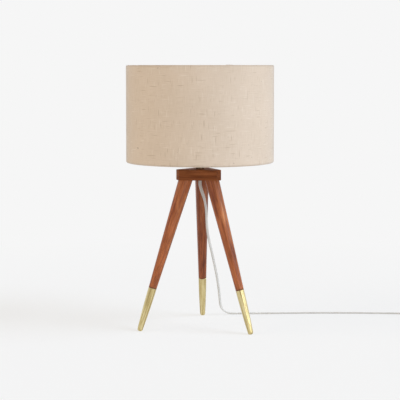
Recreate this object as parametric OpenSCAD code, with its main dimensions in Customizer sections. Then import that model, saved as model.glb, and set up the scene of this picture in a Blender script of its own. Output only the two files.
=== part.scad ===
// Tripod table lamp: three turned legs with brass ferrules under a six-sided block,
// a keyed lampholder on a threaded tube, and a linen drum shade on a wire carrier.
// Millimetres, +Z up. The origin lies on the table, on the axis of the shade.

/* [Shade] */
// Outside diameter of the drum shade
shade_d = 280; // [240:5:320]
// Height of the drum shade
shade_h = 184; // [170:2:220]
// Height of the shade's lower rim above the block
shade_gap = 13; // [10:1:24]
// Thickness of the linen cover with its adhesive
cover_t = 0.8; // [0.6:0.1:1.2]
// Thickness of the plastic lining behind the linen
lining_t = 0.5; // [0.4:0.1:1]
// Diameter of the wire in both shade rings
wire_d = 3; // [2.4:0.2:4]
// Height of the linen that is turned in over each ring
hem_h = 10; // [8:1:16]
// Diameter of the three carrier arms
arm_d = 3.2; // [2.6:0.2:4]
// Outside diameter of the carrier's fitter ring
fitter_d = 58; // [54:1:66]
// Thickness of the carrier's fitter ring
fitter_t = 1.5; // [1:0.25:2.5]

/* [Tripod] */
// Height of the block's underside above the table
leg_rise = 283; // [250:1:310]
// Distance from the lamp's axis to the middle of each foot
foot_reach = 122; // [105:1:128]
// Distance from the lamp's axis to the middle of each leg under the block
leg_pitch = 29.5; // [28.5:0.5:30.5]
// Turn of the rear leg's top from its corner of the block, in degrees
rear_top_turn = 2; // [0:0.5:4]
// Turn of the rear foot from an even third of a circle, in degrees
rear_foot_turn = 6.5; // [0:0.5:8]
// Diameter of each leg under the block
leg_top_d = 26.4; // [24:0.2:27]
// Diameter of each leg where the ferrule starts
leg_joint_d = 15.4; // [14:0.2:18]
// Chamfer on the wood above the ferrule
leg_chamfer = 0.5; // [0.2:0.1:1]

/* [Ferrules] */
// Length of each brass ferrule along its leg
ferrule_len = 84; // [70:1:100]
// Diameter of the ferrule at its rounded tip
ferrule_tip_d = 9.7; // [9:0.1:12]
// Radius that rounds the edge of the tip
tip_round = 3.5; // [2.5:0.1:4]
// Depth of the flat that each foot rests on
foot_flat = 0.6; // [0.4:0.1:0.8]
// Thickness of the ferrule's wall
ferrule_wall = 1.3; // [1:0.1:1.8]
// Bevel round the ferrule's mouth
mouth_bevel = 0.4; // [0.2:0.1:0.6]
// Length of the wooden spigot inside the ferrule
spigot_len = 60; // [45:1:64]

/* [Block] */
// Length of the block's three long sides
block_side = 72; // [70:1:80]
// Width of the block's three cut-off corners
block_corner = 14; // [13:1:20]
// Height of the block
block_h = 20; // [18:1:26]
// Radius of the block's upright edges
block_round = 1.2; // [1:0.1:2]
// Chamfer around the block's top and bottom
block_chamfer = 0.8; // [0.4:0.1:0.9]
// Diameter of the recess under the block
recess_d = 26; // [24:0.5:28]
// Depth of the recess under the block
recess_h = 9; // [8.6:0.2:11]

/* [Leg bolts] */
// Diameter of the hanger bolts
bolt_d = 6; // [5:0.5:6.5]
// Length of bolt inside the leg
bolt_in_leg = 24; // [18:1:32]
// Length of bolt inside the block
bolt_in_block = 16; // [13:0.5:17]
// Outside diameter of the threaded inserts
insert_d = 9; // [8.5:0.25:10]
// Length of the threaded inserts
insert_len = 12; // [9:0.5:13]

/* [Threaded tube] */
// Outside diameter of the threaded tube
tube_d = 10; // [9.6:0.2:10.4]
// Bore of the threaded tube
tube_bore = 7.6; // [7.2:0.1:8]
// Distance across the flats of the tube's nuts
nut_flats = 14; // [13:0.5:16]
// Thickness of the tube's nuts
nut_h = 4; // [3:0.25:4]
// Diameter of the washer in the recess
washer_d = 22; // [19:0.5:23]
// Thickness of the washer in the recess
washer_t = 1.5; // [1:0.25:2]
// Diameter of the bronzed collar between block and lampholder
collar_d = 15.6; // [14:0.2:18]
// Height of the bronzed collar
collar_h = 8; // [5:0.5:12]
// Length of tube that stands past each nut
tube_proud = 1.5; // [1:0.25:1.5]

/* [Lampholder] */
// Largest diameter of the lampholder's cap
cap_d = 42; // [41:0.5:46]
// Height of the lampholder's cap
cap_h = 27; // [26:0.5:32]
// Thickness of the cap's wall
cap_wall = 1.8; // [1.4:0.1:2.2]
// Thickness of the cap's floor
cap_floor = 3; // [2.5:0.5:4]
// Width of the ledge inside the cap that carries the insulator
cap_ledge = 1.4; // [1:0.1:2]
// Diameter of the holder's threaded skirt
skirt_d = 39.5; // [38.5:0.5:40]
// Height of the holder's threaded skirt
skirt_h = 34; // [32:1:40]
// Thickness of the skirt's wall
skirt_wall = 1.8; // [1.4:0.1:2.2]
// Diameter of the stop flange under the fitter ring
stop_d = 46; // [44:0.5:48]
// Diameter of the ring nut that clamps the shade
ring_nut_d = 52; // [48:1:54]
// Height of the ring nut
ring_nut_h = 7; // [5:0.5:10]
// Thickness of the insulator's clamped rim
core_rim_t = 3.5; // [3:0.25:4]
// Height of the insulator above the cap
core_rise = 8; // [6:0.5:10]
// Inside diameter of the brass screw shell
screw_bore = 27.2; // [27:0.1:28]
// Wall of the brass screw shell
screw_wall = 0.7; // [0.5:0.1:1]
// Height of the brass screw shell
screw_h = 21; // [18:1:22]
// Height of the centre contact
contact_h = 2.5; // [2:0.25:3.5]

/* [Switch] */
// Width and depth of the switch body
switch_w = 12; // [10:0.5:13]
// Diameter of the switch bushing through the cap's wall
bushing_d = 8; // [7:0.5:9]
// Diameter of the turning spindle
spindle_d = 5; // [4.5:0.25:5.5]
// Distance from the lamp's axis to the end of the key
key_reach = 45; // [40:1:52]
// Width of the key's oval wing
key_w = 18; // [14:1:20]
// Thickness of the key's wing
key_t = 5; // [4.5:0.5:6]

/* [Bulb] */
// Diameter of the bulb's globe
globe_d = 60; // [54:1:66]
// Length of the bulb from its contact to its crown
bulb_len = 108; // [100:1:118]
// Diameter of the bulb's threaded cap
bulb_cap_d = 26.2; // [25.8:0.1:26.4]
// Length of the bulb's cap
bulb_cap_len = 26.5; // [25:0.5:28]
// Wall of the globe
globe_wall = 1; // [0.8:0.1:1.4]

/* [Cord] */
// Width of the flat twin cord
cord_w = 6; // [5.6:0.1:6.2]
// Thickness of the flat twin cord
cord_t = 3; // [2.8:0.1:3.1]
// Radius of the coil's innermost turn
coil_r_in = 24.5; // [24:0.5:30]
// Turns in each of the coil's two layers
coil_turns = 2.625; // [2.625, 3.625]
// Space between neighbouring turns of the coil
coil_gap = 0.6; // [0.5:0.1:1]
// Width of the tie round the coil
tie_w = 8; // [6:1:12]
// Thickness of the tie round the coil
tie_t = 0.8; // [0.6:0.1:1.2]
// Length of the plug's body
plug_len = 27; // [24:1:32]
// Width of the plug's body
plug_w = 21; // [20:0.5:24]
// Thickness of the plug's body
plug_t = 12.4; // [12:0.2:14]
// Length of the plug's strain relief
relief_len = 22; // [20:1:30]
// Distance between the plug's two blades
blade_pitch = 12.7; // [12:0.1:13]

/* [Fits] */
// Clearance all round between parts that slide or nest together
slip = 0.15; // [0.1:0.05:0.2]
// Clearance all round a turning spindle
run = 0.08; // [0.04:0.02:0.1]
// Clearance all round soft or formed parts
ease = 0.3; // [0.2:0.05:0.4]

/* [Hidden] */
$fn = 96;

// Colours
wood = [0.55, 0.31, 0.19];
dark_wood = [0.44, 0.24, 0.15];
brass = [0.79, 0.72, 0.50];
bronze = [0.44, 0.33, 0.24];
steel = [0.66, 0.66, 0.67];
black_plastic = [0.13, 0.13, 0.14];
clear_cord = [0.78, 0.79, 0.78];
linen = [0.86, 0.79, 0.70];
lining_white = [0.93, 0.92, 0.89];

// Heights up the lamp
block_top = leg_rise + block_h;
recess_top = leg_rise + recess_h;
nut_z = recess_top - washer_t - nut_h;
tube_z = nut_z - tube_proud;
cap_z = block_top + collar_h;
cap_nut_h = 3;
tube_top = cap_z + cap_floor + cap_nut_h + tube_proud;
cap_rim = cap_z + cap_h;
stop_rise = 3;
stop_t = 2;
stop_z = cap_rim + stop_rise;
seat_z = stop_z + stop_t;
core_top = cap_rim + core_rise;
tip_z = core_top + contact_h + slip;
globe_z = tip_z + bulb_cap_len;
shade_z = block_top + shade_gap;
shade_top = shade_z + shade_h;

// A leg's own frame runs down its axis from the block's underside.
LEFT = 0;
RIGHT = 1;
REAR = 2;
top_bearing = [210, 330, 90 + rear_top_turn];
foot_bearing = [210, 330, 90 + rear_foot_turn];

function around(r, bearing, z = 0) = [r * cos(bearing), r * sin(bearing), z];
function leg_head(i) = around(leg_pitch, top_bearing[i], leg_rise);
function leg_line(i) = around(foot_reach, foot_bearing[i]) - leg_head(i);
function leg_bearing(i) = atan2(leg_line(i).y, leg_line(i).x);
function leg_tilt(i) = atan2(norm([leg_line(i).x, leg_line(i).y]), leg_rise);

// Distance along the leg at which its rounded tip reaches foot_flat below the table
tip_flat_r = ferrule_tip_d / 2 - tip_round;
function leg_end(i) = (leg_rise + foot_flat - tip_round - tip_flat_r * sin(leg_tilt(i)))
    / cos(leg_tilt(i)) + tip_round;
function leg_joint(i) = leg_end(i) - ferrule_len;

// Each turned form is also turned about its own axis, so that no cut meets its seam edge-on.
seam_turn = 50;
module on_leg(i) {
    translate(leg_head(i))
        rotate([0, 180 - leg_tilt(i), leg_bearing(i)])
            rotate([0, 0, seam_turn])
                children();
}

// Radius of the ferrule at distance u below its mouth: a long swelling taper
taper_power = 1.65;
function ferrule_r(u, inset = 0) = leg_joint_d / 2 - inset
    - (leg_joint_d - ferrule_tip_d) / 2 * pow(u / ferrule_len, taper_power);
ferrule_steps = 12;
ferrule_bore = spigot_len + 2;

// Wooden leg: a straight taper, a small chamfer, and a spigot for the ferrule
module leg(i) {
    joint = leg_joint(i);
    rise = leg_top_d / 2 * tan(leg_tilt(i)) + 1;
    flare = (leg_top_d - leg_joint_d) / 2 / joint * rise;
    difference() {
        on_leg(i)
            rotate_extrude()
                polygon(concat(
                    [[0, -rise], [leg_top_d / 2 + flare, -rise],
                     [leg_joint_d / 2, joint - leg_chamfer],
                     [leg_joint_d / 2 - leg_chamfer, joint]],
                    [for (k = [0:ferrule_steps]) let (u = spigot_len * k / ferrule_steps)
                        [ferrule_r(u, ferrule_wall + slip), joint + u]],
                    [[0, joint + spigot_len]]));
        on_leg(i)
            translate([0, 0, -rise - 1])
                cylinder(d = bolt_d + 2 * slip, h = rise + 1 + bolt_in_leg + 1);
        translate([0, 0, leg_rise + block_h])
            cube([4 * leg_pitch + leg_top_d, 4 * leg_pitch + leg_top_d, 2 * block_h], center = true);
    }
}

// Brass ferrule: a thin cup over the spigot, solid at its tip, with a flat to rest on
module ferrule(i) {
    joint = leg_joint(i);
    end = leg_end(i);
    difference() {
        on_leg(i)
            rotate_extrude()
                polygon(concat(
                    [[ferrule_r(0) - mouth_bevel, joint],
                     [ferrule_r(mouth_bevel), joint + mouth_bevel]],
                    [for (k = [1:ferrule_steps])
                        let (u = (ferrule_len - tip_round) * k / ferrule_steps)
                        [ferrule_r(u), joint + u]],
                    [for (a = [15:15:75])
                        [tip_flat_r + tip_round * cos(a), end - tip_round + tip_round * sin(a)]],
                    [[tip_flat_r, end], [0, end], [0, joint + ferrule_bore]],
                    [for (k = [ferrule_steps:-1:0]) let (u = ferrule_bore * k / ferrule_steps)
                        [ferrule_r(u, ferrule_wall), joint + u]]));
        translate([0, 0, -ferrule_len])
            cube([4 * foot_reach, 4 * foot_reach, 2 * ferrule_len], center = true);
    }
}

module leg_left() { color(wood) leg(LEFT); }
module leg_right() { color(wood) leg(RIGHT); }
module leg_rear() { color(wood) leg(REAR); }
module ferrule_left() { color(brass) ferrule(LEFT); }
module ferrule_right() { color(brass) ferrule(RIGHT); }
module ferrule_rear() { color(brass) ferrule(REAR); }

// Insert starts where its tilted end stays inside the block.
insert_start = 2;
module hanger_bolts() {
    color(steel)
        for (i = [LEFT:REAR])
            on_leg(i)
                translate([0, 0, -bolt_in_block])
                    cylinder(d = bolt_d, h = bolt_in_block + bolt_in_leg);
}

module block_inserts() {
    color(brass)
        for (i = [LEFT:REAR])
            on_leg(i)
                translate([0, 0, -insert_start - insert_len])
                    difference() {
                        cylinder(d = insert_d, h = insert_len);
                        translate([0, 0, -1])
                            cylinder(d = bolt_d + 2 * slip, h = insert_len + 2);
                    }
}

// The block's outline: an equiangular hexagon with long and short sides by turns
long_apothem = (block_side + 2 * block_corner) / (2 * sqrt(3));
short_apothem = (2 * block_side + block_corner) / (2 * sqrt(3));
function block_corners(inset) =
    let (near = long_apothem - inset, far = short_apothem - inset,
         half = (2 * near - far) / sqrt(3))
    [for (bearing = [90, 210, 330], side = [-1, 1])
        around(far, bearing) + side * half * [-sin(bearing), cos(bearing), 0]];

module hub_block() {
    color(dark_wood)
        difference() {
            hull()
                for (corner = block_corners(block_round)) {
                    translate(corner + [0, 0, leg_rise + block_chamfer])
                        cylinder(r = block_round, h = block_h - 2 * block_chamfer, $fn = 24);
                    translate(corner + [0, 0, leg_rise])
                        cylinder(r = block_round - block_chamfer, h = block_h, $fn = 24);
                }
            translate([0, 0, leg_rise - 1])
                cylinder(d = tube_d + 2 * slip, h = block_h + 2);
            translate([0, 0, leg_rise - 1])
                cylinder(d = recess_d, h = recess_h + 1);
            for (i = [LEFT:REAR])
                on_leg(i) {
                    translate([0, 0, -insert_start - insert_len - slip])
                        cylinder(d = insert_d + 2 * slip, h = insert_start + insert_len + insert_d);
                    translate([0, 0, -bolt_in_block - slip])
                        cylinder(d = bolt_d + 2 * slip, h = bolt_in_block);
                }
        }
}

module ring(outer, inner, h) {
    difference() {
        cylinder(d = outer, h = h);
        translate([0, 0, -1])
            cylinder(d = inner, h = h + 2);
    }
}

module hex_nut(h) {
    difference() {
        cylinder(d = nut_flats / cos(30), h = h, $fn = 6);
        translate([0, 0, -1])
            cylinder(d = tube_d + 2 * slip, h = h + 2);
    }
}

module threaded_tube() {
    color(steel)
        translate([0, 0, tube_z])
            ring(tube_d, tube_bore, tube_top - tube_z);
}

module tube_washer() {
    color(steel)
        translate([0, 0, recess_top - washer_t])
            ring(washer_d, tube_d + 2 * slip, washer_t);
}

module tube_nut() {
    color(steel)
        translate([0, 0, nut_z])
            hex_nut(nut_h);
}

module neck_collar() {
    color(bronze)
        translate([0, 0, block_top])
            ring(collar_d, tube_d + 2 * slip, collar_h);
}

// Outline of the flat twin cord, two round cores side by side with a groove between
module cord_outline(grow = 0) {
    for (side = [-1, 1])
        translate([side * (cord_w - cord_t) / 2, 0])
            circle(d = cord_t + 2 * grow);
    square([cord_w - cord_t, cord_t * 0.7 + 2 * grow], center = true);
}

// Plastic bush in the lower mouth of the tube; the cord leaves at its underside.
bush_flange = 1.2;
bush_stem = 8;
exit_z = tube_z - bush_flange;
module cord_bush() {
    color(black_plastic)
        difference() {
            union() {
                translate([0, 0, exit_z])
                    cylinder(d = tube_d + 1, h = bush_flange);
                translate([0, 0, tube_z])
                    cylinder(d = tube_bore - 2 * slip, h = bush_stem);
            }
            translate([0, 0, exit_z - 1])
                linear_extrude(bush_flange + bush_stem + 2)
                    cord_outline(slip);
        }
}

inner_top = tube_top + 1;
module inner_cord() {
    color(clear_cord)
        translate([0, 0, exit_z])
            linear_extrude(inner_top - exit_z)
                cord_outline();
}

// Cup of the lampholder: a quarter oval from its neck up to its straight wall
neck_d = 20;
dome_h = 12;
function dome(neck_r, wall_r, z0, h) =
    [for (a = [0:11.25:90]) [neck_r + (wall_r - neck_r) * sin(a), z0 + h * (1 - cos(a))]];
cup_r = cap_d / 2 - cap_wall - cap_ledge;
ledge_z = cap_rim - core_rim_t;
core_d = cap_d - 2 * cap_wall - 2 * slip;
switch_z = ledge_z - switch_w / 2;
bushing_out = cap_d / 2 + 2.5;

module holder_cap() {
    color(brass)
        difference() {
            rotate_extrude()
                polygon(concat([[0, cap_z]], dome(neck_d / 2, cap_d / 2, cap_z, dome_h),
                    [[cap_d / 2, cap_rim], [0, cap_rim]]));
            rotate_extrude()
                polygon(concat([[0, cap_z + cap_floor]],
                    dome(neck_d / 2, cup_r, cap_z + cap_floor, dome_h - cap_floor),
                    [[cup_r, ledge_z], [cap_d / 2 - cap_wall, ledge_z],
                     [cap_d / 2 - cap_wall, cap_rim + 1], [0, cap_rim + 1]]));
            translate([0, 0, cap_z - 1])
                cylinder(d = tube_d + 2 * slip, h = cap_floor + 2);
            translate([cup_r - 3, 0, switch_z])
                rotate([0, 90, 0])
                    cylinder(d = bushing_d + 2 * slip, h = cap_d);
        }
}

module cap_nut() {
    color(steel)
        translate([0, 0, cap_z + cap_floor])
            hex_nut(cap_nut_h);
}

module holder_skirt() {
    color(brass)
        difference() {
            union() {
                translate([0, 0, cap_rim])
                    cylinder(d = skirt_d, h = skirt_h);
                translate([0, 0, stop_z])
                    cylinder(d = stop_d, h = stop_t);
            }
            translate([0, 0, cap_rim - 1])
                cylinder(d = skirt_d - 2 * skirt_wall, h = skirt_h + 1 - skirt_wall);
            translate([0, 0, cap_rim])
                cylinder(d = screw_bore + 2 * screw_wall + 2, h = skirt_h + 1);
        }
}

screw_y = 9;
screw_x = -7;
screw_head_d = 5.4;
screw_head_h = 2.4;
screw_shank_d = 3;
screw_shank_h = 6;
module at_terminals() {
    for (side = [-1, 1])
        translate([screw_x, side * screw_y, ledge_z])
            children();
}

module insulator() {
    color("ivory")
        difference() {
            union() {
                translate([0, 0, ledge_z])
                    cylinder(d = core_d, h = core_rim_t);
                translate([0, 0, cap_rim])
                    cylinder(d = skirt_d - 2 * skirt_wall - 2 * slip, h = core_rise);
            }
            at_terminals()
                translate([0, 0, -1])
                    cylinder(d = screw_shank_d + 2 * slip, h = screw_shank_h + 1 + slip);
        }
}

module terminal_screws() {
    color(brass)
        at_terminals() {
            translate([0, 0, -screw_head_h])
                cylinder(d = screw_head_d, h = screw_head_h);
            cylinder(d = screw_shank_d, h = screw_shank_h);
        }
}

contact_d = 9;
contact_room = 2;
shell_hole_d = contact_d + 2 * contact_room;
module screw_shell() {
    color(brass)
        translate([0, 0, core_top]) {
            ring(screw_bore + 2 * screw_wall, screw_bore, screw_h);
            ring(screw_bore + screw_wall, shell_hole_d, screw_wall);
        }
}

module centre_contact() {
    color(brass)
        translate([0, 0, core_top]) {
            cylinder(d = contact_d, h = contact_h / 2);
            cylinder(d = contact_d * 0.6, h = contact_h);
        }
}

module shade_ring_nut() {
    color(black_plastic)
        translate([0, 0, seat_z + fitter_t])
            ring(ring_nut_d, skirt_d + 2 * slip, ring_nut_h);
}

// Rotary switch: the body hangs under the insulator, its bushing passes the cap's wall.
switch_inner = 5.5;
switch_room = 1.2;
switch_face = cup_r - switch_room;
spindle_start = 3.5;
spindle_x = switch_inner + spindle_start;
key_x = bushing_out + 1;
key_socket = 8;
module switch_body() {
    color(black_plastic)
        difference() {
            union() {
                translate([switch_inner, -switch_w / 2, ledge_z - switch_w])
                    cube([switch_face - switch_inner, switch_w, switch_w]);
                translate([switch_inner, 0, switch_z])
                    rotate([0, 90, 0])
                        cylinder(d = bushing_d, h = bushing_out - switch_inner);
            }
            translate([spindle_x - 1, 0, switch_z])
                rotate([0, 90, 0])
                    cylinder(d = spindle_d + 2 * run, h = cap_d);
        }
}

module switch_spindle() {
    color(steel)
        translate([spindle_x, 0, switch_z])
            rotate([0, 90, 0])
                cylinder(d = spindle_d, h = key_x + key_socket - spindle_x);
}

// Flat oval key on a round boss
boss_wall = 2;
boss_end = 1.5;
wing_overlap = 3;
module switch_key() {
    boss_d = spindle_d + 2 * boss_wall;
    boss_len = key_socket + boss_end;
    wing_x = key_x + boss_len - wing_overlap;
    wing_len = key_reach - wing_x;
    color(black_plastic)
        difference() {
            translate([0, 0, switch_z]) {
                translate([key_x, 0, 0])
                    rotate([0, 90, 0])
                        cylinder(d = boss_d, h = boss_len);
                hull()
                    for (side = [-1, 1], t = [[key_t, 0.35], [key_t - 2, 0.5]])
                        translate([wing_x + wing_len / 2, 0, side * (key_w - wing_len) / 2])
                            rotate([90, 0, 0])
                                cylinder(d = wing_len * (0.65 + t[1] * 0.7), h = t[0],
                                    center = true, $fn = 32);
            }
            translate([key_x - 1, 0, switch_z])
                rotate([0, 90, 0])
                    cylinder(d = spindle_d + run / 2, h = key_socket + 1);
        }
}

// Drum shade. From outside in: linen, lining, wire ring, turned-in linen.
cover_r = shade_d / 2;
lining_r = cover_r - cover_t - slip;
wire_r = lining_r - lining_t - slip - wire_d / 2;
hem_r = wire_r - wire_d / 2 - slip - cover_t;
hem_round = (cover_r - hem_r) / 2;
ring_z = shade_z + hem_round;

// Half outline of the cover: a long wall with a round turn and a short lip at each end
function hem_arc(r, way, z_mid) =
    [for (a = [0:15:180]) [cover_r - hem_round + r * cos(a), z_mid - way * r * sin(a)]];
module cover_outline() {
    low = shade_z + hem_round;
    high = shade_top - hem_round;
    inner = hem_round - cover_t;
    polygon(concat(
        hem_arc(hem_round, 1, low),
        [[hem_r, shade_z + hem_h], [hem_r + cover_t, shade_z + hem_h]],
        [for (k = [12:-1:0]) hem_arc(inner, 1, low)[k]],
        hem_arc(inner, -1, high),
        [[hem_r + cover_t, shade_top - hem_h], [hem_r, shade_top - hem_h]],
        [for (k = [12:-1:0]) hem_arc(hem_round, -1, high)[k]]));
}

module shade_cover() {
    color(linen)
        difference() {
            rotate_extrude($fn = 180)
                cover_outline();
            for (bearing = arm_bearings)
                carrier_arm(bearing, ease);
        }
}

module shade_lining() {
    low = shade_z + hem_round;
    color(lining_white)
        translate([0, 0, low])
            difference() {
                cylinder(r = lining_r, h = shade_h - 2 * hem_round, $fn = 180);
                translate([0, 0, -1])
                    cylinder(r = lining_r - lining_t, h = shade_h, $fn = 180);
            }
}

module wire_ring(z) {
    translate([0, 0, z])
        rotate_extrude($fn = 180)
            translate([wire_r, 0])
                circle(d = wire_d, $fn = 32);
}

module shade_top_ring() {
    color("white")
        wire_ring(shade_top - hem_round);
}

// Carrier: the lower ring, three slanting arms and the fitter ring, welded together.
// The arms lie on the lower ring and meet the fitter ring's edge flush with its top.
arm_bearings = [90, 210, 330];
arm_rise = 1;
arm_sunk = 0.5;
module carrier_arm(bearing, grow = 0) {
    outer = [wire_r - arm_sunk, ring_z + arm_rise];
    inner = [fitter_d / 2 - arm_d / 2, seat_z + fitter_t - arm_d / 2];
    rotate([0, 0, bearing])
        translate([outer.x, 0, outer.y])
            rotate([0, atan2(inner.x - outer.x, inner.y - outer.y), 0])
                translate([0, 0, -grow])
                    cylinder(d = arm_d + 2 * grow, h = norm(inner - outer) + 2 * grow, $fn = 32);
}

module shade_carrier() {
    color("white") {
        wire_ring(ring_z);
        for (bearing = arm_bearings)
            carrier_arm(bearing);
        translate([0, 0, seat_z])
            ring(fitter_d, skirt_d + 2 * ease, fitter_t);
    }
}

// Bulb: a threaded cap and a pear-shaped globe
thread_pitch = 3.6;
thread_depth = 0.6;
thread_turns = 5;
bulb_cap_wall = 1;
bulb_tip_h = 1.5;
bulb_tip_round = 3;
bulb_foot_h = 4;
thread_z = tip_z + bulb_foot_h + bulb_cap_wall;
function thread_r(z) = bulb_cap_d / 2 - thread_depth * (1 - cos(360 * z / thread_pitch)) / 2;
module bulb_cap() {
    threads = [for (k = [0:4 * thread_turns]) let (z = thread_pitch * k / 4)
        [thread_r(z), thread_z + z]];
    color(steel)
        difference() {
            rotate_extrude()
                polygon(concat(
                    [[0, tip_z], [contact_d / 2, tip_z], [contact_d / 2, tip_z + bulb_tip_h],
                     [bulb_cap_d / 2 - bulb_tip_round, tip_z + bulb_foot_h]], threads,
                    [[bulb_cap_d / 2, globe_z - 2 * bulb_cap_wall],
                     [bulb_cap_d / 2 + bulb_cap_wall, globe_z], [0, globe_z]]));
            translate([0, 0, thread_z + bulb_cap_wall])
                cylinder(d = bulb_cap_d - 2 * (thread_depth + bulb_cap_wall), h = bulb_cap_len);
        }
}

// The globe's neck leaves the cap upright and meets the ball along its tangent.
function bezier(p, t) = pow(1 - t, 3) * p[0] + 3 * pow(1 - t, 2) * t * p[1]
    + 3 * (1 - t) * t * t * p[2] + t * t * t * p[3];
ball_low_turn = -42;
ball_high_turn = 84;
neck_pull = 9;
ball_pull = 12;
function globe_outline(inset) =
    let (r = globe_d / 2 - inset, mid = tip_z + bulb_len - globe_d / 2,
         neck = [bulb_cap_d / 2 + bulb_cap_wall - inset, globe_z],
         join = [r * cos(ball_low_turn), mid + r * sin(ball_low_turn)],
         way = [-sin(ball_low_turn), cos(ball_low_turn)])
    concat(
        [for (k = [0:7]) bezier([neck, neck + [0, neck_pull], join - ball_pull * way, join], k / 8)],
        [for (k = [0:12])
            let (a = ball_low_turn + (ball_high_turn - ball_low_turn) * k / 12)
            [r * cos(a), mid + r * sin(a)]],
        [[0, mid + r]]);
module bulb_globe() {
    inner = globe_outline(globe_wall);
    color("white")
        rotate_extrude()
            polygon(concat(globe_outline(0), [for (k = [len(inner) - 1:-1:0]) inner[k]]));
}

// A tube swept through rings of points. wides holds each ring's wide direction.
function unit(v) = v / norm(v);
function level_out(wide, along) = unit(wide - (wide * along) * along);
function swept_ring(p, along, wide, outline) =
    let (w = level_out(wide, along), thin = cross(along, w))
    [for (q = outline) p + q.x * w + q.y * thin];
module swept(points, alongs, wides, outline) {
    rings = len(points);
    sides = len(outline);
    corners = [for (i = [0:rings - 1]) each swept_ring(points[i], alongs[i], wides[i], outline)];
    polyhedron(corners, concat(
        [[for (k = [sides - 1:-1:0]) k]],
        [[for (k = [0:sides - 1]) (rings - 1) * sides + k]],
        [for (i = [0:rings - 2], k = [0:sides - 1])
            let (a = i * sides + k, b = i * sides + (k + 1) % sides)
            each [[a, b, b + sides], [a, b + sides, a + sides]]]), convexity = 10);
}
// Directions along a route, with its first and last ones given
function headings(points, first, last) =
    [for (i = [0:len(points) - 1]) i == 0 ? first : i == len(points) - 1 ? last
        : unit(points[i + 1] - points[i - 1])];

// The cord's two cores part above the tube and go to the terminal screws. The bend is
// placed from a core at the tube's top, the low point from the screw's head, and the hook
// from the lead's end.
lead_d = 2.6;
lead_rise = 1.5;
lead_bend = [-2, 2.2, 4.2];
lead_low = [2.5, 3.2, -2.4];
lead_hook = [0.6, -1.6, -0.4];
core_x = (cord_w - cord_t) / 2;
function on_side(v, side) = [v.x, side * v.y, v.z];
module terminal_leads() {
    outline = [for (a = [0:45:315]) lead_d / 2 * [cos(a), sin(a)]];
    color(clear_cord)
        for (side = [-1, 1]) {
            start = [side * core_x, 0, inner_top];
            stop = [screw_x, side * (screw_y - screw_head_d / 2 - slip), ledge_z - lead_d / 2 - slip];
            points = [start, start + [0, 0, lead_rise], start + on_side(lead_bend, side),
                [screw_x, 0, ledge_z - screw_head_h] + on_side(lead_low, side),
                stop + on_side(lead_hook, side), stop];
            swept(points, headings(points, [0, 0, 1], [0, side, 0]),
                [for (p = points) [1, 0, 0]], outline);
        }
}

// Free cord. It hangs from the bush, comes down behind the rear foot, and runs along
// the table to the coil. The points are the cord's centre line; the last is worked out.
cord_points = [[0.3, 0.2, 272], [3, 2.1, 260.5], [6.5, 6.7, 248], [8.7, 12.9, 233],
    [9.2, 19.6, 217], [8.8, 26.8, 201], [8.7, 34.4, 185], [9.6, 42.6, 169], [11.4, 51.8, 152],
    [13.4, 61.9, 136], [15.2, 71.9, 120], [17, 81.4, 104], [18.7, 90.5, 88], [19.9, 99, 72],
    [20.7, 107.3, 56], [21.2, 115.7, 39.5], [21.5, 124, 23], [22.8, 127.8, 16],
    [26, 131, 10], [31.2, 133.8, 5.4], [38, 136.2, 2.6], [45.5, 138, 1.6], [64, 141.5, 1.6],
    [83, 145, 1.6], [102, 148.8, 1.6], [121, 152.8, 1.6], [140, 157, 1.6], [159, 161.2, 1.6],
    [178, 165.3, 1.6], [198, 169.3, 1.6], [218, 173, 1.6], [238, 176.3, 1.6], [258, 179.2, 1.6],
    [278, 181.8, 1.6], [298, 184, 1.6], [319, 186, 1.6], [340, 187.8, 1.6], [361, 189.4, 1.7],
    [382, 190.8, 1.9], [403, 191.8, 2.3]];
coil_centre = [436, 150.4];
coil_pitch = cord_w + coil_gap;
coil_r_out = coil_r_in + coil_turns * coil_pitch;
coil_low = tie_t + ease + cord_t / 2;
coil_step = cord_t + coil_gap;
coil_high = coil_low + coil_step;
cord_end = [coil_centre.x - cord_w, coil_centre.y + coil_r_out, coil_low];

// The flat cord's wide side faces the front at the bush. It is turned by the second number
// of each pair at the height of the first, and lies flat on the table.
cord_twist = [[6, 90], [24, 55], [110, 60], [240, 66], [272, 0]];
function cord_wide(p) = around(1, lookup(p.z, cord_twist));
cord_section = [[1, 0], [0.85, 0.36], [0.5, 0.5], [0, 0.38], [-0.5, 0.5], [-0.85, 0.36],
    [-1, 0], [-0.85, -0.36], [-0.5, -0.5], [0, -0.38], [0.5, -0.5], [0.85, -0.36]];
module cord_run() {
    points = concat([[0, 0, exit_z]], cord_points, [cord_end]);
    color(clear_cord)
        swept(points, headings(points, [0, 0, -1], [1, 0, 0]), [for (p = points) cord_wide(p)],
            [for (q = cord_section) [q.x * cord_w / 2, q.y * cord_t]]);
}

// Coil: it spirals in on the lower layer, climbs in the half turn where it reverses, and
// spirals out on the upper layer. Its ends run straight for one and two widths of the cord.
rings_per_turn = 24;
coil_rings = round(2 * coil_turns * rings_per_turn);
function coil_bearing(i) = 90 - 360 * i / rings_per_turn;
function coil_radius(i) = coil_r_in + abs(i / rings_per_turn - coil_turns) * coil_pitch;
function climb(i) = max(0, min(1, 2 * (i / rings_per_turn - coil_turns) + 0.5));
function coil_z(i) = coil_low + coil_step * climb(i) * climb(i) * (3 - 2 * climb(i));
function coil_point(i) = [coil_centre.x, coil_centre.y, 0]
    + around(coil_radius(i), coil_bearing(i), coil_z(i));
last_bearing = coil_bearing(coil_rings);
last_way = [sin(last_bearing), -cos(last_bearing), 0];
coil_route = concat([cord_end], [for (i = [0:coil_rings]) coil_point(i)],
    [coil_point(coil_rings) + 2 * cord_w * last_way]);
coil_section = [[1, 0], [0.5, 0.5], [-0.5, 0.5], [-1, 0], [-0.5, -0.5], [0.5, -0.5]];
coil_outline = [for (q = coil_section) [q.x * cord_w / 2, q.y * cord_t]];
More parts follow.
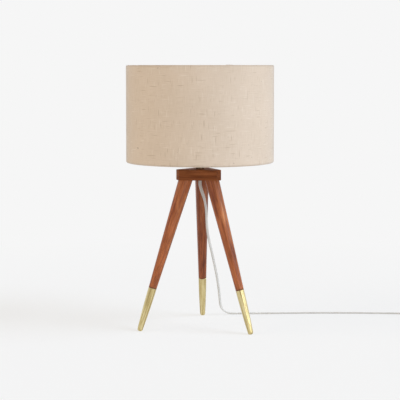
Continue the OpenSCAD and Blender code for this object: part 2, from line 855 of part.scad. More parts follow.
coil_alongs = headings(coil_route, [1, 0, 0], last_way);
coil_wides = [for (i = [0:coil_rings + 2])
    let (k = max(0, min(coil_rings, i - 1))) around(1, coil_bearing(k))];

// Least gap between turns, over points spread along the sides of rings that lie together
function spread_points(ring) = [for (k = [0:5], t = [0, 0.25, 0.5, 0.75])
    ring[k] * (1 - t) + ring[(k + 1) % 6] * t];
function least_gap(clouds) = min([for (i = [0:len(clouds) - 1],
    j = [i + rings_per_turn - 1:len(clouds) - 1])
    if ((j - i + 1) % rings_per_turn <= 2)
        min([for (a = clouds[i], b = clouds[j]) norm(a - b)])]);
module cord_coil() {
    clouds = [for (i = [0:len(coil_route) - 1])
        spread_points(swept_ring(coil_route[i], coil_alongs[i], coil_wides[i], coil_outline))];
    echo(least_gap_between_turns = least_gap(clouds));
    color(clear_cord)
        swept(coil_route, coil_alongs, coil_wides, coil_outline);
}

// Tie: a flat band round all the turns at one place
tie_bearing = 225;
tie_room = 0.75;
module coil_tie() {
    inner = [coil_r_in - cord_w / 2 - tie_room, tie_t];
    size = [coil_r_out + cord_w / 2 + ease - inner.x, coil_high + cord_t / 2 + ease - tie_t];
    color(black_plastic)
        translate([coil_centre.x, coil_centre.y, 0])
            rotate([0, 0, tie_bearing])
                translate([inner.x, 0, inner.y])
                    difference() {
                        translate([-tie_t, -tie_w / 2, -tie_t])
                            cube([size.x + 2 * tie_t, tie_w, size.y + 2 * tie_t]);
                        translate([0, -tie_w, 0])
                            cube([size.x, 2 * tie_w, size.y]);
                    }
}

// Plug with its strain relief; its blades lie side by side.
blade_w = 6.3;
blade_t = 1.5;
blade_len = 17;
blade_in = 6;
relief_wall = 0.4;
relief_end_d = 9.6;
shoulder_w = 13;
shoulder_t = 10;
belly_x = 15;
nose_shrink = 1;
plug_round = 2.2;
slab_len = 1.5;
module at_plug() {
    translate([coil_route[coil_rings + 2].x, coil_route[coil_rings + 2].y, 0])
        rotate([0, 0, last_bearing - 90])
            children();
}

// A thin slice of the plug, w wide and t thick, with rounded edges
module slice(x, z, w, t, r) {
    for (side = [-1, 1], rise = [-1, 1])
        translate([x, side * (w / 2 - r), z + rise * (t / 2 - r)])
            rotate([0, 90, 0])
                cylinder(r = r, h = slab_len, $fn = 24);
}

module plug_body() {
    relief_t = cord_t + 2 * relief_wall;
    color(clear_cord)
        at_plug()
            difference() {
                union() {
                    hull() {
                        slice(0, coil_high, cord_w + 2 * relief_wall, relief_t, relief_t / 2 - 0.1);
                        slice(relief_len, coil_high, relief_end_d, relief_end_d, relief_end_d / 2 - 0.1);
                    }
                    hull() {
                        slice(relief_len, plug_t / 2, shoulder_w, shoulder_t, plug_round);
                        slice(relief_len + belly_x, plug_t / 2, plug_w, plug_t, plug_round);
                        slice(relief_len + plug_len - slab_len, plug_t / 2, plug_w - nose_shrink,
                            plug_t - nose_shrink, plug_round);
                    }
                }
                translate([relief_len + plug_len - blade_in, 0, 0])
                    blades(slip);
            }
}

module blades(grow = 0) {
    for (side = [-1, 1])
        translate([0, side * blade_pitch / 2 - blade_t / 2 - grow, (plug_t - blade_w) / 2 - grow])
            cube([blade_len + blade_in, blade_t + 2 * grow, blade_w + 2 * grow]);
}

module plug_blades() {
    color(brass)
        at_plug()
            translate([relief_len + plug_len - blade_in + slip, 0, 0])
                blades();
}

hub_block();
leg_left();
leg_right();
leg_rear();
ferrule_left();
ferrule_right();
ferrule_rear();
hanger_bolts();
block_inserts();
threaded_tube();
tube_washer();
tube_nut();
neck_collar();
cord_bush();
holder_cap();
cap_nut();
holder_skirt();
insulator();
screw_shell();
centre_contact();
terminal_screws();
inner_cord();
terminal_leads();
switch_body();
switch_spindle();
switch_key();
shade_ring_nut();
shade_carrier();
shade_top_ring();
shade_lining();
shade_cover();
bulb_cap();
bulb_globe();
cord_run();
cord_coil();
coil_tie();
plug_body();
plug_blades();
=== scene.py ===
import math

import bpy
import numpy as np
from mathutils import Euler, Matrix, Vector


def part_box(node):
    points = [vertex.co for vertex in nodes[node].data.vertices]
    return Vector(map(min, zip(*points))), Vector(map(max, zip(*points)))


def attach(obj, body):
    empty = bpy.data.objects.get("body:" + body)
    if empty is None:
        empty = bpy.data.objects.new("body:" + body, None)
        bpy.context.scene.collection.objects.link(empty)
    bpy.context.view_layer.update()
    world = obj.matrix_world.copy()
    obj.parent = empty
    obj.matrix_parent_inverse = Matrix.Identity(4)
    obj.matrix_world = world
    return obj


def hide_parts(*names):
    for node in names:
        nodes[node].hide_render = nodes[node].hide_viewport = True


# The looks of a tripod table lamp: turned legs with brass ferrules under a six-sided block,
# a keyed lampholder, a linen drum shade on a wire carrier, and a flat cord with its plug.
# Metres, +Z up, with the origin on the table below the middle of the shade.
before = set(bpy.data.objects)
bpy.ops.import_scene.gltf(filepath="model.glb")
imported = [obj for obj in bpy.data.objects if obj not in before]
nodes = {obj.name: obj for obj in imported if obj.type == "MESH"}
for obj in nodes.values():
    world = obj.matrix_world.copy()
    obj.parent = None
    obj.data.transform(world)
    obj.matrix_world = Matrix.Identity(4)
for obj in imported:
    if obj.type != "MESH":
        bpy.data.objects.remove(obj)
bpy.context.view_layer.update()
BODY = "lamp"
MM = 0.001


# ---------------------------------------------------------------- Legs
# Three turned legs of reddish-brown hardwood under satin lacquer. Each tapers straight
# down from the block, and its grain runs along its own axis.
LEG_BEARINGS = {"left": (210, 210), "right": (330, 330), "rear": (92, 96.5)}
LEG_RISE = 283 * MM
LEG_PITCH = 29.5 * MM
FOOT_REACH = 122 * MM
FOOT_FLAT = 0.6 * MM
FERRULE_LEN = 84 * MM
TIP_R = 4.85 * MM
TIP_ROUND = 3.5 * MM


def tone(red, green, blue):
    """A colour as the eye sees it, from 0 to 255, in the linear numbers that a shader takes."""
    share = np.array([red, green, blue]) / 255
    linear = np.where(share > 0.04045, ((share + 0.055) / 1.055) ** 2.4, share / 12.92)
    return (*(float(x) for x in linear), 1.0)


def finish_of(name, sockets):
    """A material with one shader, its even values set on the shader's own sockets."""
    made = bpy.data.materials.new(name)
    made.use_nodes = True
    shader = made.node_tree.nodes["Principled BSDF"]
    for socket, value in sockets.items():
        shader.inputs[socket].default_value = value
    return made


def add(made, kind, inputs=None, **settings):
    """Adds a node to a material. Each input is a value or the socket that feeds it."""
    node = made.node_tree.nodes.new("ShaderNode" + kind)
    for name, value in settings.items():
        setattr(node, name, value)
    for key, value in (inputs or {}).items():
        if isinstance(value, bpy.types.NodeSocket):
            made.node_tree.links.new(value, node.inputs[key])
        else:
            node.inputs[key].default_value = value
    return node


def feed(made, socket, source):
    """Joins a socket to the material's shader."""
    made.node_tree.links.new(source, made.node_tree.nodes["Principled BSDF"].inputs[socket])


def placed(made, origin=(0, 0, 0), turn=(0, 0, 0), scale=(1, 1, 1), source="Object"):
    """Coordinates from an origin, turned and stretched, so that a pattern lies along a piece."""
    start = add(made, "TexCoord").outputs[source]
    inputs = {"Vector": start, "Location": origin, "Rotation": turn, "Scale": scale}
    return add(made, "Mapping", inputs, vector_type="TEXTURE").outputs["Vector"]


def noise(made, vector, scale, detail, distortion=0.0):
    """Cloudy noise, from 0 to 1."""
    inputs = {"Vector": vector, "Scale": scale, "Detail": detail, "Distortion": distortion}
    return add(made, "TexNoise", inputs).outputs["Fac"]


def ramp(made, value, stops):
    """Colours along a value: stops of (position, colour)."""
    node = add(made, "ValToRGB", {"Fac": value})
    band = node.color_ramp
    band.elements[0].position, band.elements[0].color = stops[0]
    band.elements[1].position, band.elements[1].color = stops[-1]
    for position, colour in stops[1:-1]:
        band.elements.new(position).color = colour
    return node.outputs["Color"]


def remap(made, value, low, high, to_low, to_high):
    """A value stretched from one range to another and held inside it."""
    inputs = {"Value": value, "From Min": low, "From Max": high, "To Min": to_low, "To Max": to_high}
    return add(made, "MapRange", inputs).outputs["Result"]


def blended(made, share, under, over, kind="MIX"):
    """One colour laid over another by a share."""
    node = add(made, "Mix", data_type="RGBA", blend_type=kind)
    for key, value in ((0, share), (6, under), (7, over)):
        if isinstance(value, bpy.types.NodeSocket):
            made.node_tree.links.new(value, node.inputs[key])
        else:
            node.inputs[key].default_value = value
    return node.outputs[2]


def bump(made, height, depth, strength, under=None):
    """Relief of a height from 0 to 1 that stands depth metres proud."""
    inputs = {"Height": height, "Distance": depth, "Strength": strength}
    if under is not None:
        inputs["Normal"] = under
    return add(made, "Bump", inputs).outputs["Normal"]


def dress(node_name, made):
    """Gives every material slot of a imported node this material."""
    for place in nodes[node_name].material_slots:
        place.material = made


FRONT_WOOD = (tone(140, 72, 38), tone(166, 94, 52), tone(190, 121, 73))
# The rear leg's tones are darker than the front legs': painted shade on the leg at the back.
SHADED_REAR_WOOD = (tone(114, 56, 29), tone(143, 77, 42), tone(164, 97, 58))
WOOD_PORE = tone(78, 36, 18)
DARKEN_FROM = 2.6 * MM
DARKEN_TO = 0.8 * MM
SEED_STEP = 0.31


def wood(name, origin, turn, tones, seed=0.0, gloss=0.28, roughness=0.26, figure=0.75, end=None):
    """Hardwood whose grain runs along the turned Z axis: broad bands, streaks, thin fibres
    and short dark pores are one noise each, stretched along the grain by 7 to 30 times.
    figure is how much the streaks and fibres show, and seed gives each piece its own part
    of the pattern. Where end is given, the grain darkens just before that distance."""
    made = finish_of(name, {"Roughness": roughness, "Specular IOR Level": gloss, "Coat Weight": gloss / 5,
                            "Coat Roughness": 0.12, "IOR": 1.5})
    dark, mid, light = tones
    shift = tuple(o + s for o, s in zip(origin, (seed, 2 * seed, 0)))
    broad = noise(made, placed(made, shift, turn, (1, 1, 7)), 90, 2.5, 0.8)
    streak = noise(made, placed(made, shift, turn, (1, 1, 16)), 260, 2.0, 0.5)
    fibre = noise(made, placed(made, shift, turn, (1, 1, 26)), 720, 3.0, 0.3)
    pore = noise(made, placed(made, shift, turn, (1, 1, 30)), 1900, 1.0)
    base = ramp(made, broad, [(0.32, dark), (0.46, mid), (0.58, mid), (0.72, light)])
    streaks = ramp(made, streak, [(0.36, (0.60, 0.52, 0.46, 1)), (0.47, (0.98, 0.97, 0.96, 1)),
                                  (0.64, (1.22, 1.26, 1.32, 1))])
    base = blended(made, figure, base, streaks, "MULTIPLY")
    fibres = ramp(made, fibre, [(0.30, (0.60, 0.54, 0.50, 1)), (0.62, (1.16, 1.17, 1.18, 1))])
    base = blended(made, figure, base, fibres, "MULTIPLY")
    dots = remap(made, pore, 0.60, 0.70, 0.0, 0.6)
    base = blended(made, dots, base, WOOD_PORE)
    if end is not None:
        # The grain darkens in a band just above the ferrule's mouth.
        along = add(made, "SeparateXYZ", {0: placed(made, origin, turn)}).outputs["Z"]
        joint_darkening = remap(made, along, end - DARKEN_FROM, end - DARKEN_TO, 0, 0.75)
        base = blended(made, joint_darkening, base, WOOD_PORE)
    feed(made, "Base Color", base)
    feed(made, "Roughness", remap(made, fibre, 0.3, 0.7, roughness + 0.06, roughness - 0.04))
    feed(made, "Normal", bump(made, fibre, 0.00005, 0.5))
    return made


def leg_frame(side):
    """A leg's own frame: the head of its axis under the block, the turn that carries +Z down
    along it, and the distance along it to the ferrule's mouth, at which the rounded tip
    reaches FOOT_FLAT below the table."""
    top, foot = (math.radians(a) for a in LEG_BEARINGS[side])
    head = np.array([LEG_PITCH * math.cos(top), LEG_PITCH * math.sin(top), LEG_RISE])
    line = np.array([FOOT_REACH * math.cos(foot), FOOT_REACH * math.sin(foot), 0]) - head
    tilt = math.atan2(math.hypot(line[0], line[1]), LEG_RISE)
    end = (LEG_RISE + FOOT_FLAT - TIP_ROUND - (TIP_R - TIP_ROUND) * math.sin(tilt)) / math.cos(tilt)
    return head, (0.0, math.pi - tilt, math.atan2(line[1], line[0])), end + TIP_ROUND - FERRULE_LEN


for place, side in enumerate(LEG_BEARINGS):
    head, turn, joint = leg_frame(side)
    dress("leg_" + side, wood("leg_wood_" + side, tuple(head), turn,
                              SHADED_REAR_WOOD if side == "rear" else FRONT_WOOD,
                              seed=SEED_STEP * place, end=joint))


# ---------------------------------------------------------------- Ferrules
# Spun brass cups pressed on the legs' ends, with a bevelled mouth and a rounded tip. The
# metal is satin, lacquered, with faint lines drawn along it, and wider dark streaks along
# it are painted reflection.
FERRULE_BRASS = (tone(158, 134, 84), tone(212, 195, 140), tone(236, 223, 178))


def drawn_metal(name, tones, roughness, origin=(0, 0, 0), turn=(0, 0, 0), stretch=45, reflection_bands=0.0):
    """Metal with lines drawn along the turned Z axis: one stretched noise moves its colour
    and its roughness, and a slow noise dulls it in patches. A stretch under 1 gives lines
    round the axis. The last argument is the share of a wider noise that darkens whole
    streaks along the piece: a painted dark reflection."""
    made = finish_of(name, {"Metallic": 1.0, "Roughness": roughness})
    lines = noise(made, placed(made, origin, turn, (1, 1, stretch)), 700, 2.0)
    patches = noise(made, placed(made, origin, turn), 45, 2.0)
    dark, mid, light = tones
    base = ramp(made, lines, [(0.28, dark), (0.46, mid), (0.72, light)])
    # Wider streaks darkened along the piece are painted dark reflection.
    if reflection_bands:
        wide = noise(made, placed(made, origin, turn, (1, 1, stretch)), 230, 1.0)
        base = blended(made, remap(made, wide, 0.52, 0.62, 0.0, reflection_bands), base, dark)
    dull = remap(made, patches, 0.45, 0.75, 0.0, 0.2)
    feed(made, "Base Color", blended(made, dull, base, dark))
    feed(made, "Roughness", remap(made, lines, 0.3, 0.7, roughness - 0.05, roughness + 0.07))
    feed(made, "Normal", bump(made, lines, 0.00001, 0.4))
    return made


def skin(name, grid, made, wrap_rows=False, sharp=35, uv=None):
    """A mesh through a grid of points, with rows along a piece and columns around it. The
    columns always close. The rows close too, or each end gets a fan to its middle. Faces
    turn outwards by the sign of the volume that they enclose. uv is the measure along the
    piece at each row and round it at each column, for a map in metres."""
    rows, columns = grid.shape[:2]
    i, j = np.meshgrid(np.arange(rows - (not wrap_rows)), np.arange(columns), indexing="ij")
    below, beside = (i + 1) % rows, (j + 1) % columns
    quads = np.stack([i * columns + j, below * columns + j, below * columns + beside,
                      i * columns + beside], -1).reshape(-1, 4)
    fans = np.zeros((0, 3), int)
    points = grid.reshape(-1, 3)
    if not wrap_rows:
        points = np.vstack([points, grid[0].mean(0), grid[-1].mean(0)])
        ring = np.arange(columns)
        after = (ring + 1) % columns
        last = (rows - 1) * columns
        first_fan = np.stack([np.full(columns, len(points) - 2), ring, after], -1)
        last_fan = np.stack([np.full(columns, len(points) - 1), last + after, last + ring], -1)
        fans = np.vstack([first_fan, last_fan])
    corners = points[np.vstack([quads[:, :3], quads[:, [0, 2, 3]], fans])]
    inside_out = (corners[:, 0] * np.cross(corners[:, 1], corners[:, 2])).sum() < 0
    if inside_out:
        quads, fans = quads[:, ::-1], fans[:, ::-1]
    mesh = bpy.data.meshes.new(name)
    mesh.from_pydata(points.tolist(), [], quads.tolist() + fans.tolist())
    if uv is not None:
        along, around = uv
        steps = np.stack([np.stack([along[i], around[j]], -1), np.stack([along[i + 1], around[j]], -1),
                          np.stack([along[i + 1], around[j + 1]], -1),
                          np.stack([along[i], around[j + 1]], -1)], 2).reshape(-1, 4, 2)
        steps = steps[:, ::-1] if inside_out else steps
        places = np.zeros((len(mesh.loops), 2))
        places[:steps.size // 2] = steps.reshape(-1, 2)
        mesh.uv_layers.new(name="UVMap").data.foreach_set("uv", places.ravel())
    mesh.polygons.foreach_set("use_smooth", np.ones(len(mesh.polygons), bool))
    mesh.set_sharp_from_angle(angle=math.radians(sharp))
    piece = bpy.data.objects.new(name, mesh)
    bpy.context.scene.collection.objects.link(piece)
    mesh.materials.append(made)
    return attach(piece, BODY)


def turned(profile, angles, change=None):
    """A profile of (radius, height) carried round the Z axis: x = r cos a, y = r sin a.
    change adds to the radius at each profile point and angle."""
    radius = np.repeat(profile[:, :1], len(angles), 1)
    if change is not None:
        radius = radius + change
    height = np.repeat(profile[:, 1:], len(angles), 1)
    return np.stack([radius * np.cos(angles), radius * np.sin(angles), height], -1)


def full_circle(count):
    """Evenly spread angles round a circle, without the last that repeats the first."""
    return np.linspace(0, 2 * math.pi, count, endpoint=False)


MOUTH_R = 7.7 * MM
MOUTH_BEVEL = 0.4 * MM
FERRULE_WALL = 1.3 * MM
FERRULE_BORE = 62 * MM
TAPER_POWER = 1.65


def ferrule_profile():
    """(radius, distance below the mouth) from the middle of the bore's floor up the bore,
    over the bevelled mouth and down the outside to the tip. The outside narrows by a power
    of the distance, and a quarter circle rounds the tip."""
    def taper(u):
        return MOUTH_R - (MOUTH_R - TIP_R) * (u / FERRULE_LEN) ** TAPER_POWER
    bore = np.linspace(FERRULE_BORE, 0, 16)
    side = np.linspace(MOUTH_BEVEL, FERRULE_LEN - TIP_ROUND, 60)
    turn = np.radians(np.arange(10, 91, 10))
    tip = np.stack([TIP_R - TIP_ROUND * (1 - np.cos(turn)),
                    FERRULE_LEN - TIP_ROUND * (1 - np.sin(turn))], -1)
    return np.vstack([np.stack([taper(bore) - FERRULE_WALL, bore], -1), [(taper(0) - MOUTH_BEVEL, 0)],
                      np.stack([taper(side), side], -1), tip])


for side in LEG_BEARINGS:
    head, turn, joint = leg_frame(side)
    down = np.array(Euler(turn).to_matrix())
    shape = turned(ferrule_profile() + (0, joint), full_circle(96)) @ down.T + head
    shape[..., 2] = np.maximum(shape[..., 2], 0)
    ferrule = skin("ferrule_spun_" + side, shape, drawn_metal(
        "ferrule_brass_" + side, FERRULE_BRASS, 0.3, tuple(head), turn, reflection_bands=0.6))
    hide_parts("ferrule_" + side)


# ---------------------------------------------------------------- Block
# A six-sided block of darker wood that holds the three legs and the threaded tube. Its
# grain runs from left to right, and its edges are eased.
BLOCK_WOOD = (tone(118, 65, 35), tone(136, 77, 43), tone(152, 89, 50))
ACROSS = (0, math.pi / 2, 0)
dress("hub_block", wood("block_wood", (0, 0, LEG_RISE), ACROSS, BLOCK_WOOD, gloss=0.06,
                       roughness=0.5, figure=0.45))


# ---------------------------------------------------------------- Bolts, inserts, tube and nuts
# Zinc-plated hanger bolts join the legs to brass inserts in the block. A threaded tube
# passes the block and the lampholder, and two nuts and a washer clamp it.
STEEL_TONES = (tone(160, 160, 162), tone(186, 186, 188), tone(206, 206, 206))
BRIGHT_BRASS = (tone(190, 160, 96), tone(208, 180, 112), tone(222, 198, 132))
plated_steel = drawn_metal("plated_steel", STEEL_TONES, 0.32, stretch=1)
bright_brass = drawn_metal("bright_brass", BRIGHT_BRASS, 0.24, stretch=0.2)
for name in ("hanger_bolts", "tube_washer", "tube_nut", "cap_nut"):
    dress(name, plated_steel)
for name in ("block_inserts", "terminal_screws", "centre_contact"):
    dress(name, bright_brass)


def dense(profile, step):
    """More points along a profile's straight stretches, no further apart than step."""
    parts = []
    for a, b in zip(profile[:-1], profile[1:]):
        count = max(1, int(math.ceil(np.linalg.norm(np.subtract(b, a)) / step)))
        parts.append(np.linspace(a, b, count, endpoint=False))
    return np.vstack(parts + [profile[-1:]])


def screw_cut(profile, angles, pitch, depth, cut):
    """Change of radius for a thread: a cosine wave of height and angle, as deep as depth,
    where cut, a function of radius and height, is 1."""
    radius, height = profile[:, :1], profile[:, 1:]
    phase = 2 * math.pi * height / pitch - angles
    return -depth * cut(radius, height) * (1 - np.cos(phase)) / 2


def top_and_bottom(name):
    """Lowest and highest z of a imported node."""
    low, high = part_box(name)
    return low.z, high.z


def outer_radius(name):
    """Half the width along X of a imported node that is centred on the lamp's axis."""
    low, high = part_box(name)
    return (high.x - low.x) / 2


tube_low, tube_high = top_and_bottom("threaded_tube")
tube_r = outer_radius("threaded_tube")
TUBE_BORE_R = 3.8 * MM
TUBE_PITCH = 0.94 * MM
TUBE_THREAD = 0.5 * MM
circle = full_circle(48)
outline = dense(np.array([(TUBE_BORE_R, tube_low), (tube_r - TUBE_THREAD, tube_low),
                          (tube_r, tube_low + TUBE_THREAD), (tube_r, tube_high - TUBE_THREAD),
                          (tube_r - TUBE_THREAD, tube_high), (TUBE_BORE_R, tube_high)]),
                TUBE_PITCH / 8)
tube = skin("threaded_tube_cut", turned(outline, circle, screw_cut(
    outline, circle, TUBE_PITCH, TUBE_THREAD, lambda r, z: r > tube_r - TUBE_THREAD / 2)),
    plated_steel, wrap_rows=True)
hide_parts("threaded_tube")


# ---------------------------------------------------------------- Collar
# A short turned spacer of bronzed steel between the block and the lampholder, the only
# part of the stem that shows below the shade.
BRONZED = (tone(74, 52, 38), tone(112, 84, 62), tone(158, 130, 104))
dress("neck_collar", drawn_metal("bronzed_steel", BRONZED, 0.2, stretch=0.1))


# ---------------------------------------------------------------- Lampholder
# A brass shell in two halves round a moulded core. The skirt carries a thread for the ring
# nut that clamps the shade, and the core carries a rolled brass screw shell.
def moulded(name, colour, roughness):
    """Moulded plastic: a fine even grain, and a slow change of tone and gloss."""
    made = finish_of(name, {"Roughness": roughness, "IOR": 1.5})
    fine = noise(made, placed(made), 900, 2.0)
    slow = noise(made, placed(made), 30, 2.0)
    darker = tuple(0.8 * c for c in colour[:3]) + (1.0,)
    feed(made, "Base Color", ramp(made, slow, [(0.3, darker), (0.7, colour)]))
    feed(made, "Roughness", remap(made, slow, 0.3, 0.7, roughness - 0.04, roughness + 0.06))
    feed(made, "Normal", bump(made, fine, 0.00003, 0.6))
    return made


ivory_plastic = moulded("ivory_plastic", tone(226, 214, 186), 0.4)
black_plastic = moulded("black_plastic", tone(38, 37, 38), 0.42)
dress("holder_cap", bright_brass)
dress("insulator", ivory_plastic)
for name in ("switch_body", "switch_key", "cord_bush"):
    dress(name, black_plastic)
dress("switch_spindle", plated_steel)

SAME = 0.1 * MM
SKIRT_R = 19.75 * MM
SKIRT_PITCH = 2.0 * MM
SKIRT_THREAD = 0.6 * MM
SKIRT_WALL = 1.8 * MM
STOP_RISE = 3 * MM
STOP_T = 2 * MM
STOP_R = 23 * MM
SHELL_HOLE_R = 15.3 * MM
skirt_low, skirt_high = top_and_bottom("holder_skirt")
stop_low = skirt_low + STOP_RISE
stop_high = stop_low + STOP_T
roof = skirt_high - SKIRT_WALL
inner_r = SKIRT_R - SKIRT_WALL
circle = full_circle(144)
outline = dense(np.array([
    (inner_r, skirt_low), (SKIRT_R, skirt_low), (SKIRT_R, stop_low), (STOP_R, stop_low),
    (STOP_R, stop_high), (SKIRT_R, stop_high), (SKIRT_R, skirt_high - SKIRT_THREAD),
    (SKIRT_R - SKIRT_THREAD, skirt_high), (SHELL_HOLE_R, skirt_high), (SHELL_HOLE_R, roof),
    (inner_r, roof), (inner_r, skirt_low)]), SKIRT_PITCH / 8)[:-1]
skirt = skin("holder_skirt_cut", turned(outline, circle, screw_cut(
    outline, circle, SKIRT_PITCH, SKIRT_THREAD,
    lambda r, z: (abs(r - SKIRT_R) < SAME) * (z > stop_high + SKIRT_PITCH / 2))),
    bright_brass, wrap_rows=True)
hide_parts("holder_skirt")

SHELL_PITCH = 3.6 * MM
SHELL_THREAD = 0.5 * MM
SHELL_IN_R = 13.6 * MM
SHELL_WALL = 0.7 * MM
SHELL_FLOOR_HOLE_R = 6.5 * MM
SHELL_EDGE = 1 * MM
SHELL_LEAD = 2 * MM
shell_low, shell_high = top_and_bottom("screw_shell")
shell_out = outer_radius("screw_shell")
outline = dense(np.array([
    (SHELL_FLOOR_HOLE_R, shell_low), (shell_out - SHELL_EDGE, shell_low), (shell_out, shell_low + SHELL_EDGE),
    (shell_out, shell_high), (SHELL_IN_R, shell_high), (SHELL_IN_R, shell_low + SHELL_WALL),
    (SHELL_FLOOR_HOLE_R, shell_low + SHELL_WALL), (SHELL_FLOOR_HOLE_R, shell_low)]),
    SHELL_PITCH / 12)[:-1]
circle = full_circle(96)
shell = skin("screw_shell_rolled", turned(outline, circle, screw_cut(
    outline, circle, SHELL_PITCH, SHELL_THREAD,
    lambda r, z: (r > SHELL_IN_R - SAME) * (z > shell_low + SHELL_LEAD))), bright_brass, wrap_rows=True)
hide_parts("screw_shell")


# ---------------------------------------------------------------- Shade frame
# Steel wire under white powder coat: two rings, three arms and a flat fitter ring. A
# ribbed plastic nut clamps the fitter ring on the lampholder's stop flange.
def coated(name, colour, roughness, peel=420, depth=0.00004, fall=0.94):
    """A smooth coat: an orange-peel bump, and a slow change of tone down to the share fall."""
    made = finish_of(name, {"Roughness": roughness, "Coat Weight": 0.2, "Coat Roughness": 0.3})
    peeled = noise(made, placed(made), peel, 1.0)
    slow = noise(made, placed(made), 25, 2.0)
    darker = tuple(fall * c for c in colour[:3]) + (1.0,)
    feed(made, "Base Color", ramp(made, slow, [(0.35, darker), (0.65, colour)]))
    feed(made, "Normal", bump(made, peeled, depth, 0.5))
    return made


white_wire = coated("white_wire", tone(236, 235, 230), 0.38)
for name in ("shade_carrier", "shade_top_ring"):
    dress(name, white_wire)

NUT_RIBS = 48
RIB_DEPTH = 0.9 * MM
NUT_EDGE = 0.8 * MM
nut_low, nut_high = top_and_bottom("shade_ring_nut")
nut_r = outer_radius("shade_ring_nut")
NUT_BORE_R = 19.9 * MM
outline = dense(np.array([
    (NUT_BORE_R, nut_low), (nut_r - NUT_EDGE, nut_low), (nut_r, nut_low + NUT_EDGE),
    (nut_r, nut_high - NUT_EDGE), (nut_r - NUT_EDGE, nut_high), (NUT_BORE_R, nut_high),
    (NUT_BORE_R, nut_low)]), MM)[:-1]
circle = full_circle(8 * NUT_RIBS)
ribs = -RIB_DEPTH * (outline[:, :1] > nut_r - NUT_EDGE / 2) * (1 - np.cos(NUT_RIBS * circle)) / 2
ring_nut = skin("shade_ring_nut_ribbed", turned(outline, circle, ribs), black_plastic,
                wrap_rows=True, sharp=50)
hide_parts("shade_ring_nut")


# ---------------------------------------------------------------- Lining
# White plastic sheet, rolled inside the linen to keep the drum round. It is smooth and
# matt, and the linen is glued to it.
lining_white = coated("lining_white", tone(242, 240, 234), 0.5, peel=900, depth=0.00001, fall=0.98)
dress("shade_lining", lining_white)


# ---------------------------------------------------------------- Linen cover
# One strip of undyed linen glued round the drum. It overlaps itself in a seam at the back,
# and its long edges are rolled over the wire rings and turned in.
cover_low, cover_high = top_and_bottom("shade_cover")
cover_r = outer_radius("shade_cover")
CLOTH_T = 0.6 * MM
ROLL_R = 2.775 * MM
HEM_H = 10 * MM
LIP_AND_ROLL = 14.7 * MM
SEAM_BEARING = math.radians(72)
SEAM_LAP = 12 * MM
SEAM_RISE = 5 * MM
SEAM_LIFT = 0.65 * MM
WAVE_RISE = 0.06 * MM


def cover_profile():
    """The cloth's middle line from the lower lip, round the lower roll, up the wall, round
    the upper roll to the upper lip: (radius, height) pairs and their outward directions."""
    roll = ROLL_R - CLOTH_T / 2
    centre = cover_r - ROLL_R
    turn = np.radians(np.arange(0, 181, 12))
    low = np.stack([centre - roll * np.cos(turn), cover_low + ROLL_R - roll * np.sin(turn)], -1)
    high = np.stack([centre + roll * np.cos(turn), cover_high - ROLL_R + roll * np.sin(turn)], -1)
    line = dense(np.vstack([[(centre - roll, cover_low + HEM_H)], low, high,
                            [(centre - roll, cover_high - HEM_H)]]), 4 * MM)
    way = np.gradient(line, axis=0)
    way /= np.linalg.norm(way, axis=1)[:, None]
    return line, np.stack([way[:, 1], -way[:, 0]], -1)


def cover_grid():
    """The strip: its middle line turned round the axis once and a lap more. Over the lap it
    is lifted along its outward direction, and low waves of under 0.2 mm keep it from being
    a perfect cylinder."""
    line, out = cover_profile()
    lap = SEAM_LAP / cover_r
    rise = SEAM_RISE / cover_r
    angle = np.concatenate([np.linspace(0, 2 * math.pi - rise, 480, endpoint=False),
                            np.linspace(2 * math.pi - rise, 2 * math.pi + lap, 20)])
    t = np.clip((angle - (2 * math.pi - rise)) / rise, 0, 1)
    lift = SEAM_LIFT * t * t * (3 - 2 * t)
    height = (line[:, 1:] - cover_low) / (cover_high - cover_low)
    waves = WAVE_RISE * (np.sin(5 * angle + 3 * height) + np.sin(9 * angle - 5 * height + 1.3)
                         + 0.7 * np.sin(14 * angle + 7 * height + 0.4))
    waves = waves * np.sin(math.pi * np.clip(height, 0, 1))
    shift = lift + waves
    radius = line[:, :1] + out[:, :1] * shift
    up = line[:, 1:] + out[:, 1:] * shift
    bearing = SEAM_BEARING + angle
    grid = np.stack([radius * np.cos(bearing), radius * np.sin(bearing), up], -1)
    steps = np.linalg.norm(np.diff(line, axis=0), axis=1)
    return grid, np.concatenate([[0], np.cumsum(steps)]), angle * cover_r


